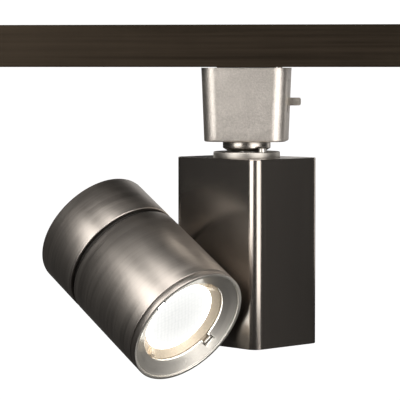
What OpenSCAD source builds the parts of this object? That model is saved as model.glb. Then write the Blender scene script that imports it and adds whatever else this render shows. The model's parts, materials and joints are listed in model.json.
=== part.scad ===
// Track light: a lamp head that tilts on the side of a driver box, which swivels under a
// twist-in adapter, in a short section of ceiling track. Millimetres, +Z up. The origin is the
// middle of the track's ceiling face, above the swivel axis, and X runs along the track.

/* [Track] */
// Length of the aluminium channel between its end caps
track_len = 249; // [230:1:600]
// Width of the track across its sides
track_w = 35; // [34:0.5:38]
// Height of the track from the ceiling to its lips
track_h = 19.05; // [18.5:0.05:22]
// Width of the open slot between the lips
track_slot_w = 16; // [15.5:0.1:17]
// Distance between the two ceiling screw holes
ceiling_hole_spacing = 200; // [120:1:210]
// Diameter of each ceiling screw hole
ceiling_hole_d = 4.5; // [3.5:0.1:6]

/* [Adapter] */
// Width of the adapter housing at its top, along the track
adapter_top_w = 39.5; // [38:0.5:44]
// Width of the adapter housing at its bottom
adapter_bottom_w = 37; // [36:0.5:42]
// Depth of the adapter housing, across the track
adapter_d = 33; // [31:0.5:36]
// Level of the adapter housing's underside
adapter_bottom_z = -52.7; // [-60:0.1:-50]
// Radius of the housing's upright edges
adapter_edge_r = 7; // [4:0.1:8]
// How far the lock lever's tab stands out from the swivel axis
lever_reach = 24.9; // [22:0.1:30]

/* [Swivel] */
// Diameter of the collar under the adapter
collar_d = 21.8; // [18:0.1:26]
// Diameter of the flange disc on the driver box
flange_d = 30.4; // [28:0.1:34]
// Thickness of the flange disc
flange_h = 2.6; // [2:0.1:4]
// Outer diameter of the hollow swivel stem
stem_d = 10; // [8:0.1:12]

/* [Driver box] */
// Width of the box face that carries the lamp head
box_w = 52.6; // [50:0.1:60]
// Depth of the box, from the lamp head's face to the back
box_d = 41.4; // [40:0.1:50]
// Level of the box's top
box_top_z = -60; // [-64:0.1:-60]
// Height of the box
box_h = 84.7; // [80:0.1:110]
// Radius of the box's upright corners
box_corner_r = 4.5; // [3.5:0.1:6]
// Wall thickness of the box
box_wall = 2; // [1.5:0.1:2.5]
// Swivel angle of the box at rest
box_yaw = -40; // [-175:1:175]

/* [Lamp head] */
// Outer diameter of the lamp head
head_d = 57.4; // [56:0.1:62]
// Length of the lamp head from the front rim to the rear face
head_len = 74.2; // [72:0.1:90]
// Tilt of the lamp head below level at rest
head_tilt = 32; // [0:1:90]
// Gap between the lamp head's side and the box
head_gap = 2.5; // [2.2:0.1:4]
// Distance of the tilt pivot behind the front rim
pivot_back = 19.7; // [19:0.1:20.3]
// Height of the tilt pivot above the bottom of the box
pivot_above_bottom = 22.6; // [18:0.1:60]
// Length of the front trim ring
trim_len = 3.1; // [2.8:0.1:5]
// Distance from the front rim to the shadow groove
groove_back = 47.8; // [46:0.1:50]
// Width of the shadow groove between the barrel and the rear cap
groove_w = 2.6; // [1:0.1:3]
// Radius of the lip around the lamp's opening
lip_r = 21; // [20.6:0.1:21.4]
// Number of cooling fins inside the barrel
fin_count = 20; // [12:1:24]

/* [Hidden] */
$fn = 96;

// Overlap that makes a cut pass clean through a face
cut = 1;
// Radial clearance of a shaft in its bore
run_gap = 0.05;
// Gap between faces on bodies that move past each other
move_gap = 0.3;
// Gap between pieces that are fixed together
fit_gap = 0.1;

track_roof = 1.6;
track_side = 1.6;
track_lip = 1.8;
rail_len = track_len - 2;
end_cap_t = 2.5;
end_cap_grow = 0.3;
end_spigot = 8;
end_cap_edge_r = 1.5;
inner_y = track_w / 2 - track_side;
slot_y = track_slot_w / 2;
lip_top = -track_h + track_lip;
rib_top = -15.1;
rib_low = -15.9;
rib_in = 1;
insulator_in = 9.6;
conductor_y = 12.2;
conductor_z = -9.5;
conductor_r = 1.1;
groove_y = 13.6;
groove_half = 1.4;

housing_top_z = -track_h - move_gap;
housing_h = housing_top_z - adapter_bottom_z;
housing_floor = 2;
housing_bevel = 0.6;
housing_draft = 1;
form_slice = 0.2;
cavity_w = 32.6;
cavity_d = 28.6;
cavity_r = 3;
lever_slot_top = -24.5;
lever_slot_h = 15.1;
lever_slot_w = 5;
lever_y = -4;
lever_x = 14.6;
lever_t = 1.2;
lever_tab_z = -36.4;
lever_tab_h = 3.6;
lever_tab_w = 3.8;
carrier_top_z = -6;
carrier_foot_h = 5;
tongue_top_z = -17.4;
plate_t = 1.5;
blade_x = 8;

stem_r = stem_d / 2;
stem_bore_r = 3.2;
stem_top_z = -45.5;
stem_low_z = -68;
nut_h = 3;
nut_r = 8.1;
collar_low_z = box_top_z + flange_h + move_gap;
collar_chamfer = 2.2;
collar_chamfer_h = 1.4;
washer_t = 0.8;
washer_r = 9;
plate_h = 2.5;
lower_washer_z = box_top_z - plate_h - move_gap - washer_t;
flange_screw_r = 13.2;
flange_screw_at = 36.8;
dome_r = 1.7;
dome_h = 2.4;
dome_slot = 0.6;
dome_shank_r = 0.95;
dome_shank_len = 5;
dome_hole_r = 1.05;
dome_hole_depth = 10;

box_low_z = box_top_z - box_h;
plate_w = box_w - 2 * box_wall - 2 * fit_gap;
plate_d = box_d - 2 * box_wall - 2 * fit_gap;
plate_r = box_corner_r - box_wall;
channel_x = box_w / 2 - 4.8;
channel_y = box_d / 2 - 4.8;
channel_r = 3;
screw_r = 1.45;
screw_head_r = 2.8;
screw_head_h = 1.5;
screw_len = 9;
board_y = 7;
board_t = 1.6;
board_w = 34;
board_h = 62;
board_low_z = box_low_z + 8.7;
core_x = -12;
core_w = 18;
core_h = 16;
core_t = 12;
core_window = 9;
core_foot = 4;
core_low_z = board_low_z + 38;
coil_play = 0.2;
capacitor_r = 5;
capacitor_len = 14;
capacitor_x = 5;
terminal_size = [10, 8.5, 20];
terminal_x = -15;

head_r = head_d / 2;
shell_t = 1.7;
shell_in_r = head_r - shell_t;
core_r = shell_in_r - run_gap;
pivot_offset = box_d / 2 + head_gap + head_r;
pivot_z = box_low_z + pivot_above_bottom;
face_y = head_r + head_gap;
seam = 0.15;
rim_t = 1.5;
rim_drop = 0.9;
lip_back = 3.7;
lip_rear = 4.8;
spigot_back = 7;
cap_front = groove_back + groove_w;
cap_end_t = 2.5;
boss_r = 9;
boss_neck_r = 7.4;
boss_in_y = 22.5;
boss_step_y = 26;
pivot_washer_t = 0.8;
boss_out_y = face_y - pivot_washer_t - move_gap;
tube_flange_r = 8;
tube_flange_t = 2;
friction_r = 8.6;
spring_r = 6.9;
spring_t = 0.5;
pivot_nut_t = 2.8;
pivot_nut_r = 6.8;
sink_front = 29.6;
sink_base_t = 4;
sink_rear_t = 4.5;
post_r = 3.4;
post_pcd = 36;
post_hole_depth = 14;
rear_screw_len = 12;
rear_screw_angles = [90, 210, 330];
sink_core_r = 10;
sink_bevel = 2.2;
led_board_r = 14;
led_board_t = 1.5;
wire_hole_r = 1.5;
emitter_r = 5.4;
emitter_t = 1;
fin_t = 1.2;
lens_ring_r = 24.3;
lens_front = 7.6;
lens_t = 2.5;
lens_r = 18.6;
lens_open_r = 17.4;
notch_w = 5.6;
notch_out = 2.8;
clip_wall = 0.8;
clip_front = 2.4;
lug_w = 3.4;
// Turn of the lens ring's lugs from level, seen along the lamp
lug_turn = -30;

// ---------- shared shapes ----------

// A rectangle with rounded corners, centred on the origin
module rounded_rect(w, d, r) {
    square([w - 2 * r, d], center = true);
    square([w, d - 2 * r], center = true);
    for (x = [-1, 1], y = [-1, 1])
        translate([x * (w / 2 - r), y * (d / 2 - r)]) circle(r);
}

// A block that is centred in X and Y, with its underside at z
module block(w, d, z, h) {
    translate([-w / 2, -d / 2, z]) cube([w, d, h]);
}

// A flat ring with its underside at z
module ring(r_out, r_in, z, h) {
    difference() {
        translate([0, 0, z]) cylinder(r = r_out, h = h);
        translate([0, 0, z - cut]) cylinder(r = r_in, h = h + 2 * cut);
    }
}

// A hexagon nut with a round bore and chamfered corners
module hex_nut(r, bore_r, z, h) {
    bevel = r * 0.13;
    difference() {
        intersection() {
            translate([0, 0, z]) cylinder(r = r, h = h, $fn = 6);
            translate([0, 0, z])
                rotate_extrude()
                    polygon([
                        [0, 0], [r - bevel, 0], [r, bevel / 2],
                        [r, h - bevel / 2], [r - bevel, h], [0, h]
                    ]);
        }
        translate([0, 0, z - cut]) cylinder(r = bore_r, h = h + 2 * cut);
    }
}

// A countersunk screw whose flat head faces +Z at z = 0
module flush_screw(len) {
    slot_w = 0.8;
    difference() {
        rotate_extrude()
            polygon([
                [0, 0], [screw_head_r, 0], [screw_r, -screw_head_h],
                [screw_r, -len], [0, -len]
            ]);
        for (a = [0, 90])
            rotate([0, 0, a]) block(slot_w, screw_head_r * 1.2, -screw_head_h * 0.6, screw_head_h);
    }
}

// The hole that a countersunk screw sits in, opening at z = 0
module flush_hole(len) {
    rotate_extrude()
        polygon([
            [0, cut], [screw_head_r + fit_gap, cut], [screw_head_r + fit_gap, 0],
            [screw_r + fit_gap, -screw_head_h], [screw_r + fit_gap, -len], [0, -len]
        ]);
}

// Puts its children in the driver box's frame, where the lamp head is on the -Y side
module in_box() {
    rotate([0, 0, box_yaw]) children();
}

// Puts its children in the lamp head's frame: the origin is the centre of the front rim, +Z is
// the way the light goes, and +Y points at the driver box
module in_head() {
    in_box()
        translate([0, -pivot_offset, pivot_z])
            rotate([0, 90 + head_tilt, 0])
                translate([0, 0, pivot_back])
                    children();
}

// Puts its children on the tilt pivot, in the head's frame, with +Z along the pivot to the box
module on_pivot() {
    translate([0, 0, -pivot_back]) rotate([-90, 0, 0]) children();
}

// Turns a profile of [radius, distance behind the rim] points about the lamp's axis
module turned(profile) {
    rotate_extrude() polygon([for (p = profile) [p[0], -p[1]]]);
}

// ---------- track ----------

module track_channel() {
    y = track_w / 2;
    half = [
        [y, 0], [y, -track_h], [slot_y, -track_h], [slot_y, lip_top], [inner_y, lip_top],
        [inner_y, rib_low], [inner_y - rib_in, rib_low], [inner_y - rib_in, rib_top],
        [inner_y, rib_top], [inner_y, -track_roof]
    ];
    mirrored = [for (i = [len(half) - 1:-1:0]) [-half[i][0], half[i][1]]];
    color("#342b25")
        difference() {
            rotate([90, 0, 90])
                translate([0, 0, -track_len / 2])
                    linear_extrude(track_len) polygon(concat(half, mirrored));
            for (x = [-1, 1])
                translate([x * ceiling_hole_spacing / 2, 0, -track_roof - cut])
                    cylinder(d = ceiling_hole_d, h = track_roof + 2 * cut);
        }
}

// One insulator strip, for the side at positive y, with a groove for its conductor
module insulator() {
    out = inner_y - fit_gap;
    top = -track_roof - fit_gap;
    low = rib_top + fit_gap;
    rotate([90, 0, 90])
        translate([0, 0, -rail_len / 2])
            linear_extrude(rail_len)
                polygon([
                    [insulator_in, top], [out, top], [out, low], [insulator_in, low],
                    [insulator_in, conductor_z - groove_half], [groove_y, conductor_z - groove_half],
                    [groove_y, conductor_z + groove_half], [insulator_in, conductor_z + groove_half]
                ]);
}

module insulator_front() {
    color("#1c1b1a") mirror([0, 1, 0]) insulator();
}

module insulator_back() {
    color("#1c1b1a") insulator();
}

// One round copper conductor at the given side
module conductor(side) {
    translate([-rail_len / 2, side * conductor_y, conductor_z])
        rotate([0, 90, 0]) cylinder(r = conductor_r, h = rail_len);
}

module conductor_front() {
    color("#b8734a") conductor(-1);
}

module conductor_back() {
    color("#b8734a") conductor(1);
}

// The end cap for the positive end: a cover plate with a hollow spigot inside the channel
module end_cap() {
    plate_low = -track_h - end_cap_grow;
    spigot_w = 2 * insulator_in - 1;
    spigot_top = -track_roof - fit_gap;
    translate([track_len / 2, 0, 0]) {
        rotate([90, 0, 90])
            linear_extrude(end_cap_t)
                translate([0, plate_low / 2])
                    rounded_rect(track_w + 2 * end_cap_grow, -plate_low, end_cap_edge_r);
        translate([-end_spigot, -spigot_w / 2, rib_top])
            cube([end_spigot, spigot_w, spigot_top - rib_top]);
    }
}

module end_cap_left() {
    color("#2c2521") mirror([1, 0, 0]) end_cap();
}

module end_cap_right() {
    color("#2c2521") end_cap();
}

// ---------- adapter ----------

// The housing's outer form: a drafted block with rounded upright edges
module adapter_form() {
    base_r = adapter_edge_r - housing_bevel;
    depth = adapter_d - housing_draft;
    hull() {
        for (x = [-1, 1], y = [-1, 1]) {
            translate([
                x * (adapter_top_w / 2 - adapter_edge_r),
                y * (adapter_d / 2 - adapter_edge_r),
                housing_top_z - form_slice
            ])
                cylinder(r = adapter_edge_r, h = form_slice, $fn = 48);
            translate([
                x * (adapter_bottom_w / 2 - adapter_edge_r),
                y * (depth / 2 - adapter_edge_r),
                adapter_bottom_z
            ]) {
                translate([0, 0, housing_bevel])
                    cylinder(r = adapter_edge_r, h = form_slice, $fn = 48);
                cylinder(r = base_r, h = form_slice, $fn = 48);
            }
        }
    }
}

module adapter_housing() {
    color("#b8b0a6")
        difference() {
            adapter_form();
            translate([0, 0, adapter_bottom_z + housing_floor])
                linear_extrude(housing_h) rounded_rect(cavity_w, cavity_d, cavity_r);
            translate([0, 0, adapter_bottom_z - cut])
                cylinder(r = stem_r + run_gap, h = housing_floor + 2 * cut);
            translate([lever_x, lever_y - lever_slot_w / 2, lever_slot_top - lever_slot_h])
                cube([adapter_top_w / 2, lever_slot_w, lever_slot_h]);
        }
}

// A contact blade for the side at positive y: an upright leg with a finger out to the conductor
module contact_blade(grow) {
    finger_end = conductor_y - conductor_r - move_gap;
    width = 3;
    thick = 1.2;
    leg_y = 3;
    leg_low = housing_top_z - 3;
    leg_top = conductor_z + thick / 2;
    translate([blade_x - grow, leg_y - grow, leg_low - grow])
        cube([width + 2 * grow, thick + 2 * grow, leg_top - leg_low + 2 * grow]);
    translate([blade_x - grow, leg_y - grow, leg_top - thick - grow])
        cube([width + 2 * grow, finger_end - leg_y + grow, thick + 2 * grow]);
}

module contact_blade_back() {
    color("#c58a55") contact_blade(0);
}

module contact_blade_front() {
    color("#c58a55") rotate([0, 0, 180]) contact_blade(0);
}

// The steel strip whose two ends hook over the track's lips
module holding_strip(grow) {
    reach = 13.6;
    half_w = 5.5;
    translate([-half_w - grow, -reach, lip_top + move_gap - grow])
        cube([2 * (half_w + grow), 2 * reach, plate_t + 2 * grow]);
}

module holding_plate() {
    color("#9a9a98") holding_strip(0);
}

module contact_carrier() {
    foot_w = 28;
    foot_d = 26;
    neck_w = 26;
    neck_d = 14.6;
    foot_top = housing_top_z - fit_gap;
    color("#201f1e")
        difference() {
            union() {
                block(foot_w, foot_d, foot_top - carrier_foot_h, carrier_foot_h);
                block(neck_w, neck_d, foot_top - cut, carrier_top_z - foot_top + cut);
            }
            contact_blade(fit_gap);
            rotate([0, 0, 180]) contact_blade(fit_gap);
            holding_strip(fit_gap);
        }
}

module neck_collar() {
    r = collar_d / 2;
    h = adapter_bottom_z - collar_low_z;
    color("#a8a29a")
        translate([0, 0, collar_low_z])
            rotate_extrude()
                polygon([
                    [stem_r + run_gap, 0], [r - collar_chamfer, 0], [r, collar_chamfer_h],
                    [r, h], [stem_r + run_gap, h]
                ]);
}

module swivel_stem() {
    color("#8f8d8a") ring(stem_r, stem_bore_r, stem_low_z, stem_top_z - stem_low_z);
}

module stem_nut_upper() {
    color("#9c9a96") hex_nut(nut_r, stem_r + run_gap, adapter_bottom_z + housing_floor, nut_h);
}

module swivel_washer() {
    color("#9c9a96") ring(washer_r, stem_r + run_gap, lower_washer_z, washer_t);
}

module stem_nut_lower() {
    color("#9c9a96") hex_nut(nut_r, stem_r + run_gap, lower_washer_z - nut_h, nut_h);
}

// The sliding lock: a plate in the housing, a tongue in the track's slot and a finger tab
module lock_lever() {
    plate_low = -42;
    plate_half = 4;
    tongue_half = 7.4;
    tongue_low = housing_top_z - 3;
    tip_r = 1;
    face_w = lever_slot_w - 0.8;
    face_x = 17.9;
    face_t = 1.5;
    face_top = lever_slot_top - 0.3;
    color("#a39d95") {
        translate([lever_x, lever_y - plate_half, plate_low])
            cube([lever_t, 2 * plate_half, tongue_low - plate_low + cut]);
        translate([lever_x, -tongue_half, tongue_low])
            cube([lever_t, 2 * tongue_half, tongue_top_z - tongue_low]);
        translate([face_x, lever_y - face_w / 2, lever_tab_z])
            cube([face_t, face_w, face_top - lever_tab_z]);
        translate([0, lever_y + lever_tab_w / 2, lever_tab_z])
            rotate([90, 0, 0])
                linear_extrude(lever_tab_w) {
                    translate([lever_x, 0])
                        square([lever_reach - tip_r - lever_x, lever_tab_h]);
                    translate([lever_x, tip_r])
                        square([lever_reach - lever_x, lever_tab_h - 2 * tip_r]);
                    for (z = [tip_r, lever_tab_h - tip_r])
                        translate([lever_reach - tip_r, z]) circle(tip_r);
                }
    }
}

// ---------- driver box ----------

// Places its children at the two flange screws, on the flange's top
module at_flange_screws() {
    for (a = [0, 180])
        rotate([0, 0, flange_screw_at - 90 + a])
            translate([flange_screw_r, 0, box_top_z + flange_h])
                children();
}

// The hole for one flange screw, through the flange and the top plate
module flange_screw_hole() {
    translate([0, 0, -dome_hole_depth]) cylinder(r = dome_hole_r, h = dome_hole_depth + cut);
}

// A small domed screw, with its head above z = 0
module dome_screw() {
    difference() {
        rotate_extrude()
            polygon([
                [0, -dome_shank_len], [dome_shank_r, -dome_shank_len], [dome_shank_r, 0],
                [dome_r, 0], [dome_r, dome_h * 0.67], [dome_r * 0.8, dome_h * 0.88],
                [dome_r * 0.47, dome_h], [0, dome_h]
            ]);
        block(dome_slot, dome_r * 1.5, dome_h - dome_slot, cut);
    }
}

module swivel_flange() {
    r = flange_d / 2;
    bevel = 0.35;
    color("#aaa59d")
        difference() {
            translate([0, 0, box_top_z])
                rotate_extrude()
                    polygon([
                        [stem_r + run_gap, 0], [r, 0], [r, flange_h - bevel],
                        [r - bevel, flange_h], [stem_r + run_gap, flange_h]
                    ]);
            at_flange_screws() flange_screw_hole();
        }
}

module flange_screws() {
    color("#d8d4cc") at_flange_screws() dome_screw();
}

// Places its children at the corner screws of one plate, facing out of the box
module at_plate_screws(face) {
    for (x = [-1, 1], y = [-1, 1])
        translate([x * channel_x, y * channel_y, face > 0 ? box_top_z : box_low_z])
            rotate([face > 0 ? 0 : 180, 0, 0])
                children();
}

module driver_housing() {
    ledge = plate_h + fit_gap;
    color("#3a3531")
        in_box()
            difference() {
                union() {
                    translate([0, 0, box_low_z])
                        linear_extrude(box_h)
                            difference() {
                                rounded_rect(box_w, box_d, box_corner_r);
                                rounded_rect(
                                    box_w - 2 * box_wall, box_d - 2 * box_wall, plate_r
                                );
                            }
                    for (x = [-1, 1], y = [-1, 1])
                        translate([x * channel_x, y * channel_y, box_low_z + ledge])
                            cylinder(r = channel_r, h = box_h - 2 * ledge);
                }
                for (x = [-1, 1], y = [-1, 1])
                    translate([x * channel_x, y * channel_y, box_low_z - cut])
                        cylinder(r = screw_r + fit_gap, h = box_h + 2 * cut);
                translate([0, -box_d / 2 + box_wall + cut, pivot_z])
                    rotate([90, 0, 0])
                        cylinder(r = stem_r + run_gap, h = box_wall + 2 * cut);
            }
}

module top_plate() {
    color("#8d877f")
        difference() {
            in_box() {
                difference() {
                    translate([0, 0, box_top_z - plate_h])
                        linear_extrude(plate_h) rounded_rect(plate_w, plate_d, plate_r);
                    at_plate_screws(1) flush_hole(screw_len);
                    translate([0, 0, box_top_z - plate_h - cut])
                        cylinder(r = stem_r + run_gap, h = plate_h + 2 * cut);
                }
            }
            at_flange_screws() flange_screw_hole();
        }
}

module bottom_plate() {
    color("#8d877f")
        in_box()
            difference() {
                translate([0, 0, box_low_z])
                    linear_extrude(plate_h) rounded_rect(plate_w, plate_d, plate_r);
                at_plate_screws(-1) flush_hole(screw_len);
            }
}

module plate_screws() {
    color("#b5b0a8")
        in_box()
            for (face = [-1, 1])
                at_plate_screws(face) flush_screw(screw_len);
}

module driver_board() {
    color("#2f6b45")
        in_box() translate([-board_w / 2, board_y, board_low_z]) cube([board_w, board_t, board_h]);
}

module driver_transformer() {
    color("#4b4744")
        in_box()
            translate([core_x, board_y - core_t - 0.5, core_low_z])
                difference() {
                    cube([core_w, core_t, core_h]);
                    translate([(core_w - core_window) / 2, -cut, core_foot])
                        cube([core_window, core_t + 2 * cut, core_h - 2 * core_foot]);
                }
}

// The winding that fills the window of the transformer's core
module driver_coil() {
    color("#b98a3c")
        in_box()
            translate([
                core_x + (core_w - core_window) / 2 + coil_play, board_y - core_t,
                core_low_z + core_foot + coil_play
            ])
                cube([
                    core_window - 2 * coil_play, core_t - 1,
                    core_h - 2 * core_foot - 2 * coil_play
                ]);
}

module driver_capacitors() {
    color("#2a4a6b")
        in_box()
            for (up = [6, 20])
                translate([capacitor_x, board_y - 0.5, board_low_z + up])
                    rotate([90, 0, 0]) cylinder(r = capacitor_r, h = capacitor_len);
}

module terminal_block() {
    color("#3f7d57")
        in_box()
            translate([terminal_x, board_y - terminal_size[1] - 0.5, board_low_z + 2])
                cube(terminal_size);
}

// ---------- tilt pivot, fixed in the driver box ----------

module pivot_tube() {
    wall_in = face_y + box_wall;
    tube_low = boss_in_y - move_gap - spring_t - pivot_nut_t - 0.8;
    color("#8f8d8a")
        in_head()
            on_pivot() {
                ring(stem_r, stem_bore_r, tube_low, wall_in + tube_flange_t - tube_low);
                ring(tube_flange_r, stem_bore_r, wall_in, tube_flange_t);
            }
}

module friction_washer() {
    color("#2a2826")
        in_head()
            on_pivot()
                ring(friction_r, stem_r + run_gap, face_y - pivot_washer_t, pivot_washer_t);
}

module spring_washer() {
    color("#8f8d8a")
        in_head()
            on_pivot()
                ring(spring_r, stem_r + run_gap, boss_in_y - move_gap - spring_t, spring_t);
}

module pivot_nut() {
    color("#9c9a96")
        in_head()
            on_pivot()
                hex_nut(
                    pivot_nut_r, stem_r + run_gap,
                    boss_in_y - move_gap - spring_t - pivot_nut_t, pivot_nut_t
                );
}

// ---------- lamp head ----------

module front_barrel() {
    front = trim_len + seam;
    bevel = 0.25;
    color("#8a847c")
        in_head()
            difference() {
                turned([
                    [shell_in_r, front], [head_r - bevel, front], [head_r, front + bevel],
                    [head_r, groove_back - bevel], [head_r - bevel, groove_back],
                    [shell_in_r, groove_back]
                ]);
                on_pivot() translate([0, 0, head_r / 2]) cylinder(r = boss_r + run_gap, h = head_r);
            }
}

module rear_cap() {
    bevel = 0.8;
    lip = 0.4;
    color("#8a847c")
        in_head()
            difference() {
                turned([
                    [shell_in_r, cap_front], [head_r - lip, cap_front], [head_r, cap_front + lip],
                    [head_r, head_len - bevel], [head_r - bevel, head_len], [0, head_len],
                    [0, head_len - cap_end_t], [shell_in_r, head_len - cap_end_t]
                ]);
                at_rear_screws() flush_hole(cap_end_t + cut);
            }
}

// Places its children at the three screws in the rear face, facing backwards
module at_rear_screws() {
    for (a = rear_screw_angles)
        rotate([0, 0, a])
            translate([post_pcd / 2, 0, -head_len])
                rotate([180, 0, 0])
                    children();
}

module heat_sink() {
    base_rear = sink_front + sink_base_t;
    rear_front = groove_back - 1.5;
    rear_end = rear_front + sink_rear_t + groove_w;
    post_end = head_len - cap_end_t - fit_gap;
    bevel_r = core_r - sink_bevel;
    color("#26221f")
        in_head()
            difference() {
                union() {
                    turned([
                        [0, sink_front], [core_r, sink_front], [core_r, base_rear],
                        [sink_core_r, base_rear], [sink_core_r, rear_front],
                        [core_r, rear_front],
                        [core_r, rear_end], [bevel_r, rear_end], [0, rear_end]
                    ]);
                    for (i = [0:fin_count - 1])
                        rotate([0, 0, i * 360 / fin_count])
                            translate([sink_core_r - cut, -fin_t / 2, -rear_front - cut])
                                cube([
                                    core_r - sink_core_r, fin_t,
                                    rear_front - base_rear + 2 * cut
                                ]);
                    for (a = rear_screw_angles)
                        rotate([0, 0, a])
                            translate([post_pcd / 2, 0, -post_end])
                                cylinder(r = post_r, h = post_end - rear_end + cut);
                }
                for (a = rear_screw_angles)
                    rotate([0, 0, a])
                        translate([post_pcd / 2, 0, -post_end - cut])
                            cylinder(r = screw_r + fit_gap, h = post_hole_depth);
            }
}

module rear_screws() {
    color("#b5b0a8") in_head() at_rear_screws() flush_screw(rear_screw_len);
}

module pivot_boss() {
    color("#8a847c")
        in_head()
            on_pivot() {
                ring(boss_neck_r, stem_r + run_gap, boss_in_y, boss_step_y - boss_in_y + 0.1);
                ring(boss_r, stem_r + run_gap, boss_step_y, boss_out_y - boss_step_y);
            }
}

module led_board() {
    color("#d8d8d4")
        in_head() ring(led_board_r, wire_hole_r, -sink_front + fit_gap, led_board_t);
}

module led_emitter() {
    color("#f2d268")
        in_head()
            translate([0, 0, -sink_front + led_board_t + 2 * fit_gap])
                cylinder(r = emitter_r, h = emitter_t);
}

module reflector() {
    small_r = 6.2;
    wide_r = 16.6;
    wall = 1.1;
    back = 26.6;
    front = lens_front + lens_t + 0.9;
    // Parabolic profile, widest at the lens
    function bowl(t) = small_r + (wide_r - small_r) * sqrt(t);
    steps = 8;
    inner = [for (i = [0:steps]) [bowl(i / steps), back - (back - front) * i / steps]];
    outer = [for (i = [steps:-1:0]) [bowl(i / steps) + wall, back - (back - front) * i / steps]];
    color("#f4f4f0") in_head() turned(concat(inner, outer));
}

module trim_ring() {
    bevel = 0.2;
    spigot_in = lens_ring_r + move_gap;
    color("#9d978f")
        in_head()
            difference() {
                turned([
                    [head_r - rim_t, bevel], [head_r - rim_t + bevel, 0], [head_r - bevel, 0],
                    [head_r, bevel], [head_r, trim_len - bevel], [head_r - bevel, trim_len],
                    [core_r, trim_len], [core_r, spigot_back], [spigot_in, spigot_back],
                    [spigot_in, lip_rear], [lip_r, lip_rear], [lip_r, lip_back + bevel],
                    [lip_r + bevel, lip_back], [head_r - rim_t, rim_drop]
                ]);
                at_clips()
                    translate([lip_r - cut, -notch_w / 2, -lip_rear - cut])
                        cube([notch_out + cut, notch_w, lip_rear + 2 * cut]);
            }
}

// Places its children at the two notches in the trim ring, with +X outwards
module at_clips() {
    for (a = [90, 270])
        rotate([0, 0, lug_turn + a])
            children();
}

// Two U-shaped steel clips that sit in the trim ring's notches, open towards the lens
module lens_clips() {
    clip_w = notch_w - 2 * fit_gap;
    clip_in = lip_r + 0.2;
    clip_out = lip_r + notch_out - fit_gap;
    clip_h = lip_rear - clip_front;
    color("#d8d4cc")
        in_head()
            at_clips()
                difference() {
                    translate([clip_in, -clip_w / 2, -lip_rear])
                        cube([clip_out - clip_in, clip_w, clip_h]);
                    translate([clip_in - cut, -clip_w / 2 + clip_wall, -lip_rear - cut])
                        cube([
                            clip_out - clip_in + cut - clip_wall, clip_w - 2 * clip_wall,
                            clip_h + 2 * cut
                        ]);
                }
}

// ---------- lens, which twists out of the lamp head ----------

module lens_ring() {
    front = lip_rear + move_gap;
    rear = lens_front + lens_t + 0.5;
    seat = lens_front - fit_gap;
    lug_r = lip_r - move_gap;
    lug_front = lip_back + 0.4;
    lug_out = lug_r - 0.15;
    lug_low = seat - 0.3;
    color("#c9bda6")
        in_head() {
            turned([
                [lug_r, front], [lens_ring_r, front], [lens_ring_r, rear],
                [lens_r + fit_gap, rear], [lens_r + fit_gap, seat], [lens_open_r, seat]
            ]);
            for (a = [0, 180])
                rotate([0, 0, lug_turn + a])
                    intersection() {
                        turned([
                            [lug_out - 1.1, lug_front], [lug_out, lug_front],
                            [lug_out, lug_low], [lens_open_r + 0.6, lug_low],
                            [lens_open_r + 0.3, seat - 1]
                        ]);
                        translate([lens_open_r - cut, -lug_w / 2, -lens_front])
                            cube([lug_r, lug_w, lens_front]);
                    }
        }
}

module lens() {
    rim = 0.6;
    color("#fdfcf4")
        in_head()
            turned([
                [0, lens_front - 0.9], [6, lens_front - 0.8], [12, lens_front - 0.4],
                [lens_open_r - rim, lens_front], [lens_r, lens_front],
                [lens_r, lens_front + lens_t], [0, lens_front + lens_t]
            ]);
}

track_channel();
insulator_front();
insulator_back();
conductor_front();
conductor_back();
end_cap_left();
end_cap_right();
adapter_housing();
contact_carrier();
contact_blade_front();
contact_blade_back();
holding_plate();
neck_collar();
swivel_stem();
stem_nut_upper();
stem_nut_lower();
swivel_washer();
lock_lever();
swivel_flange();
flange_screws();
driver_housing();
top_plate();
bottom_plate();
plate_screws();
driver_board();
driver_transformer();
driver_coil();
driver_capacitors();
terminal_block();
pivot_tube();
friction_washer();
spring_washer();
pivot_nut();
front_barrel();
rear_cap();
heat_sink();
rear_screws();
pivot_boss();
led_board();
led_emitter();
reflector();
trim_ring();
lens_clips();
lens_ring();
lens();
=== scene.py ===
"""Track light: looks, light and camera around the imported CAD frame. Metres throughout."""

import json
import math
import bpy
from mathutils import Matrix, Vector


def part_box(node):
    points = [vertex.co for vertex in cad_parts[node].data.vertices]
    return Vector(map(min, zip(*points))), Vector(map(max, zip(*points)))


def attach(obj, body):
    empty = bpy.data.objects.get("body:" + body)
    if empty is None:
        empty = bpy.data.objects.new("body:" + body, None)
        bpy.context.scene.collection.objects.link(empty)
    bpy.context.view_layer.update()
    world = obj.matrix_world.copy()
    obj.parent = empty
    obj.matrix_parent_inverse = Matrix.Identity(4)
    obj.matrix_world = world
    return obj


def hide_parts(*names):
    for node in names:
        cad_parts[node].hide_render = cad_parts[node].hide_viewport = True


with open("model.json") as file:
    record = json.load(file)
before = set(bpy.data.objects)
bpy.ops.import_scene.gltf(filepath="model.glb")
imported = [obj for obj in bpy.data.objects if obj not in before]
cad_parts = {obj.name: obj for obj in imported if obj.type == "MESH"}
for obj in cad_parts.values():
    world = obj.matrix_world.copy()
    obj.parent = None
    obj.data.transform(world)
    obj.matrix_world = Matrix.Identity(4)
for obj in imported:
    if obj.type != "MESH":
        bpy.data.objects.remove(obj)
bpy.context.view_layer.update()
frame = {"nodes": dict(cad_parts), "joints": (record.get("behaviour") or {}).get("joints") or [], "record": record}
NODES = frame["nodes"]
JOINTS = {joint["name"]: joint for joint in frame["joints"]}
MM = 0.001
WHOLE_TURN = 2 * math.pi
# Cutters reach this far past the faces they cut
OVERRUN = MM
# Radius of the running bores for the stem and the pivot tube
SHAFT_BORE_R = 5.05 * MM
# The trim's two clip notches, as turns about the head's axis
CLIP_TURNS = {"clip_near": 60, "clip_far": 240}


# ---------- frames, taken from the joints ----------

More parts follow.
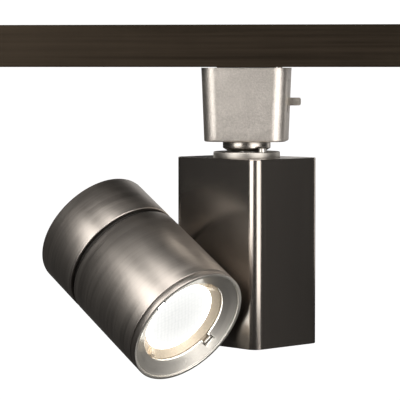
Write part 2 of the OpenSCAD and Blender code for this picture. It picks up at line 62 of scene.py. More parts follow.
def frame_matrix(origin, x, y, z):
    """The placement whose local axes are x, y and z at the given origin."""
    return Matrix((
        (x[0], y[0], z[0], origin[0]),
        (x[1], y[1], z[1], origin[1]),
        (x[2], y[2], z[2], origin[2]),
        (0, 0, 0, 1),
    ))


def joint_point(name):
    return Vector(JOINTS[name]["pos_m"])


def joint_axis(name):
    return Vector(JOINTS[name]["axis"]).normalized()


TO_BOX = joint_axis("tilt")
LIGHT_WAY = joint_axis("lens_twist")
# Lamp head: origin at the centre of the front rim, +Z the light's way, +Y towards the box
HEAD = frame_matrix(joint_point("lens_twist"), TO_BOX.cross(LIGHT_WAY), TO_BOX, LIGHT_WAY)
# Driver box: origin on the swivel axis at the ceiling, lamp head on the -Y side
BOX = frame_matrix((0, 0, 0), TO_BOX.cross(Vector((0, 0, 1))), TO_BOX, Vector((0, 0, 1)))
ROW = Matrix.Identity(4)


def local_points(node, place):
    inverse = place.inverted()
    return [inverse @ vertex.co for vertex in NODES[node].data.vertices]


def local_box(node, place=ROW):
    """Lowest and highest corner of a CAD node in a local frame."""
    points = local_points(node, place)
    low = Vector([min(p[i] for p in points) for i in range(3)])
    high = Vector([max(p[i] for p in points) for i in range(3)])
    return low, high


def outer_radius(node, place):
    return max(math.hypot(p.x, p.y) for p in local_points(node, place))


# ---------- mesh helpers ----------

SHARP_ANGLE = 35


def shade_crisp(mesh):
    """Smooth shading, with edges sharper than SHARP_ANGLE kept crisp."""
    mesh.shade_smooth()
    mesh.set_sharp_from_angle(angle=math.radians(SHARP_ANGLE))


def make_piece(name, verts, faces, place):
    """A smooth-shaded mesh, built in a local frame and set down in the row frame."""
    mesh = bpy.data.meshes.new(name)
    mesh.from_pydata([tuple(v) for v in verts], [], faces)
    mesh.transform(place)
    mesh.validate()
    shade_crisp(mesh)
    piece = bpy.data.objects.new(name, mesh)
    bpy.context.scene.collection.objects.link(piece)
    return piece


def rounded_path(points, steps=4):
    """Rounds each (a, b, radius) corner of a closed path into an arc."""
    out = []
    count = len(points)
    for i, point in enumerate(points):
        here = Vector(point[:2])
        radius = point[2] if len(point) > 2 else 0
        if radius <= 0:
            out.append(here)
            continue
        before = Vector(points[i - 1][:2]) - here
        after = Vector(points[(i + 1) % count][:2]) - here
        corner = before.angle(after)
        longest = 0.49 * min(before.length, after.length)
        reach = min(radius / math.tan(corner / 2), longest)
        bend = reach * math.tan(corner / 2)
        start = here + before.normalized() * reach
        centre = here + (before.normalized() + after.normalized()).normalized() * (
            bend / math.sin(corner / 2))
        first = start - centre
        sweep = math.pi - corner
        turn = -1 if before.x * after.y - before.y * after.x > 0 else 1
        for step in range(steps + 1):
            angle = turn * sweep * step / steps
            out.append(centre + Vector((
                first.x * math.cos(angle) - first.y * math.sin(angle),
                first.x * math.sin(angle) + first.y * math.cos(angle),
            )))
    return out


def lathe(name, profile, place, segments):
    """Turns a closed profile of (radius, z, corner radius) points about local Z."""
    on_axis = 1e-7
    verts, rings = [], []
    for point in rounded_path(profile):
        if point.x < on_axis:
            rings.append([len(verts)] * segments)
            verts.append((0, 0, point.y))
            continue
        rings.append(list(range(len(verts), len(verts) + segments)))
        for i in range(segments):
            angle = WHOLE_TURN * i / segments
            verts.append((point.x * math.cos(angle), point.x * math.sin(angle), point.y))
    faces = []
    for near, far in zip(rings, rings[1:] + rings[:1]):
        if near[0] == near[1] and far[0] == far[1]:
            continue
        for i in range(segments):
            j = (i + 1) % segments
            corners = [near[i], near[j], far[j], far[i]]
            face = [v for k, v in enumerate(corners) if v != corners[k - 1]]
            if len(face) > 2:
                faces.append(face)
    return make_piece(name, verts, faces, place)


def outline(width, depth, radius, steps):
    """A rounded rectangle, counter-clockwise, centred on the origin."""
    corners = [(1, 1, 0), (-1, 1, 90), (-1, -1, 180), (1, -1, 270)]
    points = []
    for sx, sy, start in corners:
        for step in range(steps + 1):
            angle = math.radians(start + 90 * step / steps)
            points.append((
                sx * (width / 2 - radius) + radius * math.cos(angle),
                sy * (depth / 2 - radius) + radius * math.sin(angle),
            ))
    return points


def loft(name, rings, place, loop=False):
    """Joins rings of equal point counts; flat caps close the ends, unless it is a loop."""
    count = len(rings[0])
    verts = [v for ring in rings for v in ring]
    faces = []
    spans = len(rings) if loop else len(rings) - 1
    for k in range(spans):
        near, far = k * count, ((k + 1) % len(rings)) * count
        for i in range(count):
            j = (i + 1) % count
            faces.append([near + i, near + j, far + j, far + i])
    if not loop:
        faces.append(list(range(count - 1, -1, -1)))
        faces.append([(len(rings) - 1) * count + i for i in range(count)])
    return make_piece(name, verts, faces, place)


def carve(piece, cutter):
    """Cuts the cutter's solid out of a piece and removes the cutter."""
    cut = piece.modifiers.new("cut", "BOOLEAN")
    cut.object = cutter
    cut.operation = "DIFFERENCE"
    cut.solver = "EXACT"
    bpy.context.view_layer.update()
    evaluated = piece.evaluated_get(bpy.context.evaluated_depsgraph_get())
    mesh = bpy.data.meshes.new_from_object(evaluated)
    piece.modifiers.clear()
    piece.data = mesh
    shade_crisp(mesh)
    bpy.data.objects.remove(cutter, do_unlink=True)


def box_solid(name, low, high, place):
    """A plain box between two local corners, used only as a cutter."""
    ring = [(low[0], low[1]), (high[0], low[1]), (high[0], high[1]), (low[0], high[1])]
    rings = [[(x, y, z) for x, y in ring] for z in (low[2], high[2])]
    return loft(name, rings, place)


def rod(name, radius, z_low, z_high, place, segments=64):
    """A plain rod about local Z, used only as a cutter."""
    profile = [(0, z_low), (radius, z_low), (radius, z_high), (0, z_high)]
    return lathe(name, profile, place, segments)


def bevel(obj, width):
    """Softens a piece's sharp edges; the modifier only ever takes metal away."""
    soft = obj.modifiers.new("soft edges", "BEVEL")
    soft.width = width
    soft.segments = 2
    soft.limit_method = "ANGLE"
    soft.angle_limit = math.radians(40)
    soft.harden_normals = True


def stand_for(piece, body, material, node):
    """Rides the piece on a body and material, and hides its CAD node."""
    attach(piece, body)
    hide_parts(node)
    piece.data.materials.clear()
    piece.data.materials.append(material)


# ---------- materials ----------

def shade(colour, factor):
    return tuple(min(1, c * factor) for c in colour)


class Shader:
    """A small wrapper that builds one node material."""

    def __init__(self, name):
        self.material = bpy.data.materials.new(name)
        self.material.use_nodes = True
        self.tree = self.material.node_tree
        self.nodes = self.tree.nodes
        self.bsdf = self.nodes["Principled BSDF"]

    def node(self, kind, **values):
        made = self.nodes.new(kind)
        for key, value in values.items():
            setattr(made, key, value)
        return made

    def link(self, source, target):
        self.tree.links.new(source, target)

    def set(self, **values):
        for key, value in values.items():
            self.bsdf.inputs[key.replace("_", " ")].default_value = value

    def coords(self, scale=(1, 1, 1), place=ROW):
        """The piece's coordinates, seen from a local frame and then scaled."""
        source = self.node("ShaderNodeTexCoord")
        local = self.node("ShaderNodeMapping", vector_type="TEXTURE")
        local.inputs["Location"].default_value = place.translation
        local.inputs["Rotation"].default_value = place.to_euler()
        scaled = self.node("ShaderNodeMapping")
        scaled.inputs["Scale"].default_value = scale
        self.link(source.outputs["Object"], local.inputs["Vector"])
        self.link(local.outputs["Vector"], scaled.inputs["Vector"])
        return scaled.outputs["Vector"]

    def tangent_around(self, place):
        """The direction round a local frame's Z axis, for anisotropic highlights."""
        axis = place.to_3x3().col[2]
        source = self.node("ShaderNodeTexCoord")
        away = self.node("ShaderNodeVectorMath", operation="SUBTRACT")
        away.inputs[1].default_value = place.translation
        round_axis = self.node("ShaderNodeVectorMath", operation="CROSS_PRODUCT")
        round_axis.inputs[0].default_value = axis
        unit = self.node("ShaderNodeVectorMath", operation="NORMALIZE")
        world = self.node("ShaderNodeVectorTransform", vector_type="VECTOR",
                          convert_from="OBJECT", convert_to="WORLD")
        self.link(source.outputs["Object"], away.inputs[0])
        self.link(away.outputs[0], round_axis.inputs[1])
        self.link(round_axis.outputs[0], unit.inputs[0])
        self.link(unit.outputs[0], world.inputs[0])
        self.link(world.outputs[0], self.bsdf.inputs["Tangent"])

    def noise(self, vector, scale=1.0, detail=3.0, roughness=0.6):
        made = self.node("ShaderNodeTexNoise")
        made.inputs["Scale"].default_value = scale
        made.inputs["Detail"].default_value = detail
        made.inputs["Roughness"].default_value = roughness
        self.link(vector, made.inputs["Vector"])
        return made.outputs["Fac"]

    def ramp(self, factor, stops):
        made = self.node("ShaderNodeValToRGB")
        elements = made.color_ramp.elements
        while len(elements) < len(stops):
            elements.new(0.5)
        for element, (position, colour) in zip(elements, stops):
            element.position = position
            element.color = (*colour, 1)
        self.link(factor, made.inputs["Fac"])
        return made.outputs["Color"]

    def mix(self, first, second, share):
        """Mixes two values; share is the second one's part."""
        made = self.node("ShaderNodeMix", data_type="FLOAT")
        made.inputs[0].default_value = share
        self.link(first, made.inputs[2])
        self.link(second, made.inputs[3])
        return made.outputs[0]

    def colour_by(self, factor, colour, tone):
        """Varies the base colour by the tone's share, darker where the factor is low."""
        stops = [(0.3, shade(colour, 1 - tone)), (0.7, shade(colour, 1 + tone))]
        self.link(self.ramp(factor, stops), self.bsdf.inputs["Base Color"])

    def spread(self, factor, low, high, start=0.25, end=0.75, kind="LINEAR"):
        """Maps a factor between start and end to a value between low and high."""
        made = self.node("ShaderNodeMapRange", interpolation_type=kind)
        made.inputs["From Min"].default_value = start
        made.inputs["From Max"].default_value = end
        made.inputs["To Min"].default_value = low
        made.inputs["To Max"].default_value = high
        self.link(factor, made.inputs["Value"])
        return made.outputs["Result"]

    def bump(self, height, strength, distance):
        made = self.node("ShaderNodeBump")
        made.inputs["Strength"].default_value = strength
        made.inputs["Distance"].default_value = distance
        self.link(height, made.inputs["Height"])
        self.link(made.outputs["Normal"], self.bsdf.inputs["Normal"])


def brushed_metal(name, colour, grain, roughness, anisotropy, turned_about=None, tone=0.12,
                  relief=0.12, vary=0.07, metallic=1.0):
    """Brushed metal, with its grain along the axes where the grain scale is small."""
    s = Shader(name)
    s.set(Metallic=metallic, Anisotropic=anisotropy)
    lines = s.noise(s.coords(grain, turned_about or ROW), detail=4.0, roughness=0.65)
    broad = s.noise(s.coords((35, 35, 35)), detail=2.0)
    s.colour_by(s.mix(lines, broad, 0.3), colour, tone)
    s.link(s.spread(lines, roughness - vary, roughness + vary), s.bsdf.inputs["Roughness"])
    s.bump(lines, relief, 0.2 * MM)
    if turned_about:
        s.tangent_around(turned_about)
    return s.material


def grainy_metal(name, colour, roughness, speckle, metallic=1.0, depth=0.25, tone=0.12):
    """Cast or blasted metal with an even fine speckle."""
    s = Shader(name)
    s.set(Metallic=metallic)
    fine = s.noise(s.coords(), scale=speckle, detail=3.0, roughness=0.7)
    broad = s.noise(s.coords(), scale=90, detail=2.0)
    s.colour_by(s.mix(fine, broad, 0.35), colour, tone)
    s.link(s.spread(fine, roughness - 0.05, roughness + 0.07), s.bsdf.inputs["Roughness"])
    s.bump(fine, depth, 0.2 * MM)
    return s.material


def moulded(name, colour, roughness):
    """Moulded plastic or coated board with a faint surface texture."""
    s = Shader(name)
    s.set(Metallic=0.0)
    fine = s.noise(s.coords(), scale=900, detail=2.0)
    s.colour_by(fine, colour, 0.1)
    s.link(s.spread(fine, roughness - 0.05, roughness + 0.05), s.bsdf.inputs["Roughness"])
    s.bump(fine, 0.15, 0.1 * MM)
    return s.material


def glowing_lens(name):
    """Prismatic glass lit from behind: a fine grid of cells, brightest towards its rim."""
    s = Shader(name)
    s.set(Base_Color=(0.12, 0.12, 0.12, 1), Roughness=0.5)
    cells = s.node("ShaderNodeTexVoronoi", feature="F1", distance="EUCLIDEAN")
    cells.inputs["Scale"].default_value = 560
    cells.inputs["Randomness"].default_value = 0.2
    grid_turn = Matrix.Rotation(math.radians(25), 4, "Z")
    s.link(s.coords(place=HEAD @ grid_turn), cells.inputs["Vector"])
    s.link(s.ramp(cells.outputs["Distance"], [
        (0.05, (1.0, 1.0, 0.97)), (0.55, (0.83, 0.84, 0.83))]),
        s.bsdf.inputs["Emission Color"])
    from_axis = s.node("ShaderNodeVectorMath", operation="LENGTH")
    s.link(s.coords((1, 1, 0), HEAD), from_axis.inputs[0])
    radius = from_axis.outputs["Value"]
    face_glow = s.spread(radius, 0.93, 1.04, 5 * MM, 15 * MM, "SMOOTHSTEP")
    rim_glow = s.spread(radius, 0.0, 8.0, 13 * MM, 18.6 * MM, "SMOOTHERSTEP")
    glow = s.node("ShaderNodeMath", operation="ADD")
    s.link(face_glow, glow.inputs[0])
    s.link(rim_glow, glow.inputs[1])
    s.link(glow.outputs["Value"], s.bsdf.inputs["Emission Strength"])
    s.bump(cells.outputs["Distance"], 0.4, 0.4 * MM)
    return s.material


def bright_emitter(name):
    """The emitter's warm phosphor, lit."""
    s = Shader(name)
    s.set(Roughness=0.4, Emission_Strength=8.0)
    fine = s.noise(s.coords(), scale=1500)
    s.link(s.ramp(fine, [(0.3, (1.0, 0.78, 0.3)), (0.7, (1.0, 0.86, 0.45))]),
           s.bsdf.inputs["Base Color"])
    s.link(s.ramp(fine, [(0.3, (1.0, 0.9, 0.7)), (0.7, (1.0, 0.95, 0.8))]),
           s.bsdf.inputs["Emission Color"])
    return s.material


# Noise scales along x, y and z: the grain's lines run along the axes with the small numbers
VERTICAL_GRAIN = (2200, 2200, 18)
AROUND_GRAIN = (22, 22, 1100)
ALONG_TRACK = (8, 500, 900)

# name, colour, grain, roughness, anisotropy
BRONZE = brushed_metal("bronze paint", (0.040, 0.031, 0.022), ALONG_TRACK, 0.42, 0.0, tone=0.2)
BOX_NICKEL = brushed_metal("box nickel", (0.35, 0.32, 0.29), VERTICAL_GRAIN, 0.24, 0.2,
                           tone=0.06, relief=0.02, vary=0.02)
HEAD_NICKEL = brushed_metal("head nickel", (0.39, 0.36, 0.33), AROUND_GRAIN, 0.34, 0.4,
                            HEAD, tone=0.13, relief=0.12, vary=0.06)
TRIM_NICKEL = brushed_metal("trim nickel", (0.75, 0.725, 0.67), AROUND_GRAIN, 0.34, 0.65,
                            HEAD, tone=0.06, relief=0.06, metallic=0.85)
TURNED_NICKEL = brushed_metal("turned nickel", (0.41, 0.38, 0.345), AROUND_GRAIN, 0.28, 0.3,
                              ROW)
FLANGE_NICKEL = brushed_metal("flange nickel", (0.42, 0.40, 0.37), AROUND_GRAIN, 0.42, 0.2,
                              ROW)
# name, colour, roughness, speckle
CAST_NICKEL = grainy_metal("cast nickel", (0.58, 0.545, 0.505), 0.42, 1100,
                           depth=0.5, tone=0.2)
LEVER_NICKEL = grainy_metal("lever nickel", (0.42, 0.39, 0.35), 0.4, 900, depth=0.1)
STEEL = grainy_metal("plated steel", (0.56, 0.54, 0.51), 0.3, 900, depth=0.1)
RING_NICKEL = grainy_metal("warm ring", (0.80, 0.69, 0.54), 0.5, 1100, metallic=0.4, depth=0.1)
MIRROR = grainy_metal("reflector", (0.9, 0.89, 0.87), 0.12, 700, depth=0.1)
BLACK_METAL = grainy_metal("black anodised", (0.02, 0.018, 0.016), 0.45, 900, metallic=0.6)
COPPER = grainy_metal("copper", (0.72, 0.36, 0.2), 0.3, 700, depth=0.1)
BRONZE_PLASTIC = moulded("bronze plastic", (0.034, 0.026, 0.021), 0.5)
BLACK_PLASTIC = moulded("black plastic", (0.014, 0.013, 0.012), 0.5)
LENS_GLOW = glowing_lens("lens glow")
EMITTER = bright_emitter("led emitter")
BOARD_WHITE = moulded("white board", (0.75, 0.75, 0.72), 0.4)
BOARD_GREEN = moulded("green board", (0.03, 0.13, 0.06), 0.4)
FERRITE = moulded("ferrite", (0.05, 0.047, 0.045), 0.6)
COIL_TAPE = moulded("coil tape", (0.5, 0.3, 0.06), 0.35)
SLEEVE = moulded("capacitor sleeve", (0.03, 0.08, 0.17), 0.3)
TERMINAL = moulded("terminal plastic", (0.06, 0.2, 0.1), 0.45)
FRICTION_PAD = moulded("friction pad", (0.03, 0.028, 0.026), 0.6)

SLOT_MATERIALS = {
    "bronze_paint": BRONZE, "bronze_plastic": BRONZE_PLASTIC, "black_plastic": BLACK_PLASTIC,
    "copper": COPPER, "cast_nickel": CAST_NICKEL, "polished_nickel": TURNED_NICKEL,
    "steel": STEEL, "brushed_box": BOX_NICKEL, "brushed_head": HEAD_NICKEL,
    "satin_trim": TRIM_NICKEL, "black_anodised": BLACK_METAL, "board_white": BOARD_WHITE,
    "led_phosphor": EMITTER, "reflector_mirror": MIRROR, "ring_nickel": RING_NICKEL,
    "lens_glow": LENS_GLOW, "friction_pad": FRICTION_PAD, "board_green": BOARD_GREEN,
    "ferrite": FERRITE, "coil_tape": COIL_TAPE, "capacitor_sleeve": SLEEVE,
    "terminal_plastic": TERMINAL,
}


def dress_cad_nodes():
    """Every CAD node gets the material of its slot."""
    for entry in frame["record"]["subparts"]:
        node = NODES[entry["node"]]
        node.data.materials.clear()
        node.data.materials.append(SLOT_MATERIALS[entry["material_slot"]])
    NODES["lock_lever"].data.materials[0] = LEVER_NICKEL


dress_cad_nodes()


# ---------- refined pieces: the lamp head ----------

HEAD_R = outer_radius("front_barrel", HEAD)
BARREL_LOW, BARREL_HIGH = local_box("front_barrel", HEAD)
CAP_LOW, CAP_HIGH = local_box("rear_cap", HEAD)
# Inner radius of the barrel's and the cap's walls
SHELL_R = HEAD_R - 1.7 * MM
HEAD_SEGMENTS = 256


def build_barrel():
    """The long front tube, with softened ends and the hole that its pivot boss fills."""
    boss_hole_r = 9.05 * MM
    front, back = BARREL_HIGH.z, BARREL_LOW.z
    tube = lathe("barrel_tube", [
        (SHELL_R, front, 0.2 * MM), (HEAD_R, front, 0.3 * MM),
        (HEAD_R, back, 0.45 * MM), (SHELL_R, back, 0.2 * MM),
    ], HEAD, HEAD_SEGMENTS)
    boss_low, boss_high = local_box("pivot_boss", HEAD)
    boss_z = (boss_low.z + boss_high.z) / 2
    # The hole's own Z points at the box
    sideways = Matrix.Rotation(-math.pi / 2, 4, "X")
    place = HEAD @ Matrix.Translation((0, 0, boss_z)) @ sideways
    carve(tube, rod("boss_hole", boss_hole_r, 0, 2 * HEAD_R, place))
    stand_for(tube, "lamp_head", HEAD_NICKEL, "front_barrel")


def build_rear_cap():
    """The closed rear cap, with countersinks for its three screws."""
    front, back = CAP_HIGH.z, CAP_LOW.z
    end = 2.5 * MM
    cap = lathe("rear_cap_shell", [
        (SHELL_R, front, 0.2 * MM), (HEAD_R, front, 0.5 * MM), (HEAD_R, back, 0.9 * MM),
        (0, back), (0, back + end), (SHELL_R, back + end, 0.5 * MM),
    ], HEAD, HEAD_SEGMENTS)
    reach, head_r, shank_r, head_h = 18 * MM, 2.9 * MM, 1.55 * MM, 1.5 * MM
    countersink = [
        (0, -OVERRUN), (head_r, -OVERRUN), (head_r, 0), (shank_r, head_h),
        (shank_r, end + OVERRUN), (0, end + OVERRUN),
    ]
    for turn in (90, 210, 330):
        angle = math.radians(turn)
        centre = (reach * math.cos(angle), reach * math.sin(angle), back)
        place = HEAD @ Matrix.Translation(centre)
        carve(cap, lathe("countersink", countersink, place, 48))
    stand_for(cap, "lamp_head", HEAD_NICKEL, "rear_cap")


def build_trim():
    """The front trim: a thin rim, a sloping cone down to the lip, and two clip notches."""
    rim_in, rim_drop = HEAD_R - 1.5 * MM, 0.9 * MM
    lip_r, lip_front, lip_rear = 21 * MM, 3.7 * MM, 4.8 * MM
    spigot_r = SHELL_R - 0.05 * MM
    length, spigot_end, spigot_in = 3.1 * MM, 7 * MM, 24.6 * MM
    ring = lathe("trim_cone", [
        (HEAD_R, 0, 0.35 * MM), (HEAD_R, -length, 0.25 * MM),
        (spigot_r, -length), (spigot_r, -spigot_end),
        (spigot_in, -spigot_end), (spigot_in, -lip_rear),
        (lip_r, -lip_rear, 0.1 * MM), (lip_r, -lip_front, 0.25 * MM),
        (rim_in, -rim_drop, 0.25 * MM), (rim_in, 0, 0.3 * MM),
    ], HEAD, HEAD_SEGMENTS)
    notch_w, notch_out = 5.6 * MM, 2.8 * MM
    notch_low = (lip_r - OVERRUN, -notch_w / 2, -lip_rear - OVERRUN)
    notch_high = (lip_r + notch_out, notch_w / 2, OVERRUN)
    for turn in CLIP_TURNS.values():
        place = HEAD @ Matrix.Rotation(math.radians(turn), 4, "Z")
        carve(ring, box_solid("notch", notch_low, notch_high, place))
    stand_for(ring, "lamp_head", TRIM_NICKEL, "trim_ring")
    # The rim's outer wall carries on the barrel's brushed finish
    ring.data.materials.append(HEAD_NICKEL)
    to_head = HEAD.inverted()
    for face in ring.data.polygons:
        middle = to_head @ face.center
        if math.hypot(middle.x, middle.y) > HEAD_R - 0.25 * MM:
            face.material_index = 1


def build_clips():
    """Two U-shaped steel clips, open towards the lens, low in the trim's notches."""
    near, far, half, wall = 21.2 * MM, 23.7 * MM, 2.7 * MM, 0.8 * MM
    rear, front = -4.75 * MM, -3.2 * MM
    shape = [(near, -half), (far, -half), (far, half), (near, half), (near, half - wall),
             (far - wall, half - wall), (far - wall, -half + wall), (near, -half + wall)]
    rings = [[(x, y, z) for x, y in shape] for z in (rear, front)]
    for name, turn in CLIP_TURNS.items():
        place = HEAD @ Matrix.Rotation(math.radians(turn), 4, "Z")
        clip = loft(name, rings, place)
        bevel(clip, 0.12 * MM)
        stand_for(clip, "lamp_head", STEEL, "lens_clips")


def build_lens():
    """The prismatic glass: a shallow dome with a flat flange."""
    low, high = local_box("lens", HEAD)
    edge = outer_radius("lens", HEAD)
    face, back = high.z, low.z
    dome_r, dome_h = 16.8 * MM, 0.9 * MM
    glass = lathe("lens_glass", [
        (0, face), (6 * MM, face - 0.1 * MM, 2 * MM), (12 * MM, face - 0.5 * MM, 2 * MM),
        (dome_r, face - dome_h), (edge, face - dome_h, 0.3 * MM), (edge, back, 0.3 * MM),
        (0, back),
    ], HEAD, 192)
    stand_for(glass, "lens_unit", LENS_GLOW, "lens")


# ---------- refined pieces: the adapter and its neck ----------

def rounded_rings(sizes, steps=24):
    """Loft rings for (width, depth, corner radius, z) rows."""
    return [[(x, y, z) for x, y in outline(w, d, r, steps)] for w, d, r, z in sizes]


def soft_end(width, depth, corner, z, inward, soft, steps):
    """Ring rows that round an end's edge, from its flat face inwards."""
    rows = []
    for i in range(steps + 1):
        angle = math.pi / 2 * i / steps
        inset = soft * (1 - math.sin(angle))
        rows.append((width - 2 * inset, depth - 2 * inset, corner - inset,
                     z + inward * soft * (1 - math.cos(angle))))
    return rows


def build_adapter():
    """The blasted housing: drafted sides, round upright edges and a soft lower edge."""
    # It is hollow, with a hole for the stem in its floor and a slot for the lock lever
    low, high = local_box("adapter_housing")
    top_w, top_d = high.x - low.x, high.y - low.y
    bottom_w, bottom_d = top_w - 2.5 * MM, top_d - MM
    corner, soft, levels = 7 * MM, 0.8 * MM, 8
    rows = soft_end(bottom_w, bottom_d, corner, low.z, 1, soft, 6)
    for i in range(1, levels + 1):
        part = i / levels
        rows.append((bottom_w + (top_w - bottom_w) * part,
                     bottom_d + (top_d - bottom_d) * part,
                     corner, low.z + soft + (high.z - low.z - soft) * part))
    body = loft("adapter_body", rounded_rings(rows), ROW)
    floor = 2 * MM
    inside = (32.6 * MM, 28.6 * MM, 3 * MM)
    cavity = rounded_rings([(*inside, low.z + floor), (*inside, high.z + 2 * OVERRUN)], 8)
    carve(body, loft("cavity", cavity, ROW))
    carve(body, rod("stem_hole", SHAFT_BORE_R, low.z - OVERRUN, low.z + 2 * floor, ROW))
    inner_wall_x = local_box("lock_lever")[0].x
    slot_y, slot_half = -4 * MM, 2.5 * MM
    slot_bottom, slot_top = -39.6 * MM, -24.5 * MM
    carve(body, box_solid("lever_slot", (inner_wall_x, slot_y - slot_half, slot_bottom),
                          (high.x + OVERRUN, slot_y + slot_half, slot_top), ROW))
    stand_for(body, "adapter", CAST_NICKEL, "adapter_housing")


def build_collar():
    """The turned collar under the adapter, chamfered below."""
    low, high = local_box("neck_collar")
    radius = high.x
    chamfer_in, chamfer_h = 2.2 * MM, 1.4 * MM
    collar = lathe("collar_turned", [
        (SHAFT_BORE_R, low.z), (radius - chamfer_in, low.z, 0.2 * MM),
        (radius, low.z + chamfer_h, 0.3 * MM), (radius, high.z, 0.2 * MM),
        (SHAFT_BORE_R, high.z),
    ], ROW, 192)
    stand_for(collar, "adapter", TURNED_NICKEL, "neck_collar")


def build_flange():
    """The flange disc on the box, with its two screw holes."""
    low, high = local_box("swivel_flange")
    radius = high.x
    flange = lathe("flange_turned", [
        (SHAFT_BORE_R, low.z), (radius, low.z, 0.2 * MM), (radius, high.z, 0.45 * MM),
        (radius - 3 * MM, high.z), (SHAFT_BORE_R, high.z),
    ], ROW, 192)
    reach, hole_r, first = 13.2 * MM, 1.05 * MM, -53.2
    for turn in (first, first + 180):
        angle = math.radians(turn)
        centre = (reach * math.cos(angle), reach * math.sin(angle), 0)
        carve(flange, rod("screw_hole", hole_r, low.z - OVERRUN, high.z + OVERRUN,
                          Matrix.Translation(centre), 32))
    stand_for(flange, "driver_box", FLANGE_NICKEL, "swivel_flange")


# ---------- refined pieces: the driver box ----------

def build_box():
    """The brushed extrusion: a rounded tube with softened ends."""
    low, high = local_box("driver_housing", BOX)
    width, depth = high.x - low.x, high.y - low.y
    corner, wall, soft, steps = 4.5 * MM, 2 * MM, 0.35 * MM, 3
    rows = soft_end(width, depth, corner, low.z, 1, soft, steps)
    rows += reversed(soft_end(width, depth, corner, high.z, -1, soft, steps))
    inner = (width - 2 * wall, depth - 2 * wall, corner - wall)
    rows += [(*inner, high.z), (*inner, low.z)]
    tube = loft("box_tube", rounded_rings(rows), BOX, loop=True)
    # The hole's own Z points from the swivel axis at the lamp head
    across = BOX.col[0][:3]
    place = frame_matrix((0, 0, joint_point("tilt").z), across, (0, 0, 1), -TO_BOX)
    face = depth / 2
    carve(tube, rod("pivot_hole", SHAFT_BORE_R, face - 2 * wall, face + wall, place))
    stand_for(tube, "driver_box", BOX_NICKEL, "driver_housing")


# Edge softening of the CAD nodes that stay, in millimetres
SOFT_NODES = {
    "track_channel": 0.15, "end_cap_left": 0.4, "end_cap_right": 0.4, "top_plate": 0.2,
    "bottom_plate": 0.2, "lock_lever": 0.15, "insulator_front": 0.2, "insulator_back": 0.2,
    "contact_carrier": 0.4, "holding_plate": 0.2, "terminal_block": 0.3,
    "driver_board": 0.15, "driver_transformer": 0.3, "driver_coil": 0.3, "pivot_boss": 0.25,
}

build_barrel()
build_rear_cap()
build_trim()
build_clips()
build_lens()
build_adapter()
build_collar()
build_flange()
build_box()
for node_name, softness in SOFT_NODES.items():
    bevel(NODES[node_name], softness * MM)


# ---------- stage, light and camera ----------

STAGE_RADIUS = 8.0
FLOOR_Z = -1.6


def plain_material(name, colour, emission):
    s = Shader(name)
    s.set(Roughness=0.9, Emission_Strength=emission, Emission_Color=(*colour, 1))
    faint = s.noise(s.coords(), scale=3, detail=2.0)
    s.link(s.ramp(faint, [(0.3, shade(colour, 0.99)), (0.7, colour)]),
           s.bsdf.inputs["Base Color"])
    return s.material


def build_floor():
    """A pale disc well below the light; the metal doesn't mirror it."""
    sides, radius = 96, 0.95 * STAGE_RADIUS
    turns = [WHOLE_TURN * i / sides for i in range(sides)]
    verts = [(radius * math.cos(a), radius * math.sin(a), 0) for a in turns]
    place = Matrix.Translation((0, 0, FLOOR_Z))
    floor = make_piece("floor", verts, [list(range(sides))], place)
    floor.data.materials.append(plain_material("floor", (0.86, 0.86, 0.85), 0.85))
    floor.visible_glossy = False
    floor.visible_diffuse = False


def build_backdrop():
    """A plain white dome far behind everything; only the camera sees it."""
    bpy.ops.mesh.primitive_uv_sphere_add(segments=48, ring_count=24, radius=STAGE_RADIUS)
    dome = bpy.context.object
    dome.name = "backdrop"
    dome.data.materials.append(plain_material("backdrop", (1.0, 1.0, 1.0), 1.0))
    for ray in ("diffuse", "glossy", "transmission", "volume_scatter", "shadow"):
        setattr(dome, "visible_" + ray, False)


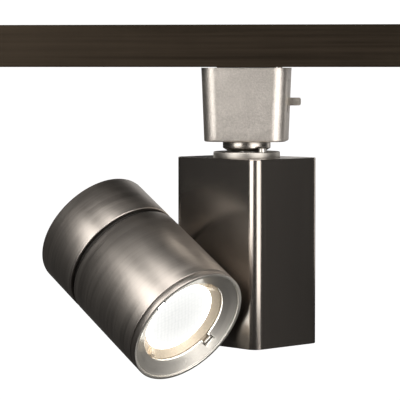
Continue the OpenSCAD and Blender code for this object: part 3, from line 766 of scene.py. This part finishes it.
def build_world():
    """A faint warm fill from all around."""
    world = bpy.data.worlds.new("studio")
    bpy.context.scene.world = world
    world.use_nodes = True
    background = world.node_tree.nodes["Background"]
    background.inputs["Color"].default_value = (0.9, 0.87, 0.84, 1)
    background.inputs["Strength"].default_value = 0.04


def softbox(name, azimuth, elevation, distance, width, height, power):
    """A soft panel facing the lamp; azimuth 0 is the camera's side, positive its right."""
    across, up = math.radians(azimuth), math.radians(elevation)
    lamp_middle = Vector((0, 0, -0.09))
    away = Vector((
        math.sin(across) * math.cos(up), -math.cos(across) * math.cos(up), math.sin(up)))
    data = bpy.data.lights.new(name, "AREA")
    data.shape = "RECTANGLE"
    data.size, data.size_y = width, height
    data.energy = power
    data.color = (1.0, 0.97, 0.94)
    light = bpy.data.objects.new(name, data)
    bpy.context.scene.collection.objects.link(light)
    light.location = lamp_middle + distance * away
    light.rotation_euler = (-away).to_track_quat("-Z", "Y").to_euler()
    light.visible_camera = False


def build_lights():
    # azimuth, elevation, distance, width, height, power
    softbox("key", -38, 20, 1.5, 1.0, 1.3, 19)
    softbox("fill", 46, 8, 1.5, 1.2, 1.3, 19)
    softbox("top", 8, 58, 1.5, 1.2, 0.9, 15)
    softbox("back", 172, 14, 1.6, 0.7, 0.9, 1.3)
    softbox("rear_left", -150, 20, 1.6, 0.7, 0.9, 3.5)
    softbox("rear_right", 136, 12, 1.6, 0.7, 1.1, 3)
    softbox("low_right", 64, -33, 1.2, 0.4, 0.3, 2.2)


def build_camera():
    """Level with the track's underside, a little to its right, looking slightly down."""
    distance, yaw, pitch = 1.0056, math.radians(6.5), math.radians(-3.45)
    across = 0.0213
    data = bpy.data.cameras.new("camera")
    data.lens, data.sensor_width = 198.4, 36.0
    camera = bpy.data.objects.new("camera", data)
    bpy.context.scene.collection.objects.link(camera)
    right = Vector((math.cos(yaw), math.sin(yaw), 0))
    ahead = Vector((-math.sin(yaw), math.cos(yaw), 0))
    track_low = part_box("track_channel")[0].z
    camera.location = Vector((0, 0, track_low)) - ahead * distance - right * across
    camera.rotation_euler = (math.pi / 2 + pitch, 0, yaw)
    bpy.context.scene.camera = camera


build_floor()
build_backdrop()
build_world()
build_lights()
build_camera()
bpy.context.scene.view_settings.view_transform = "Standard"
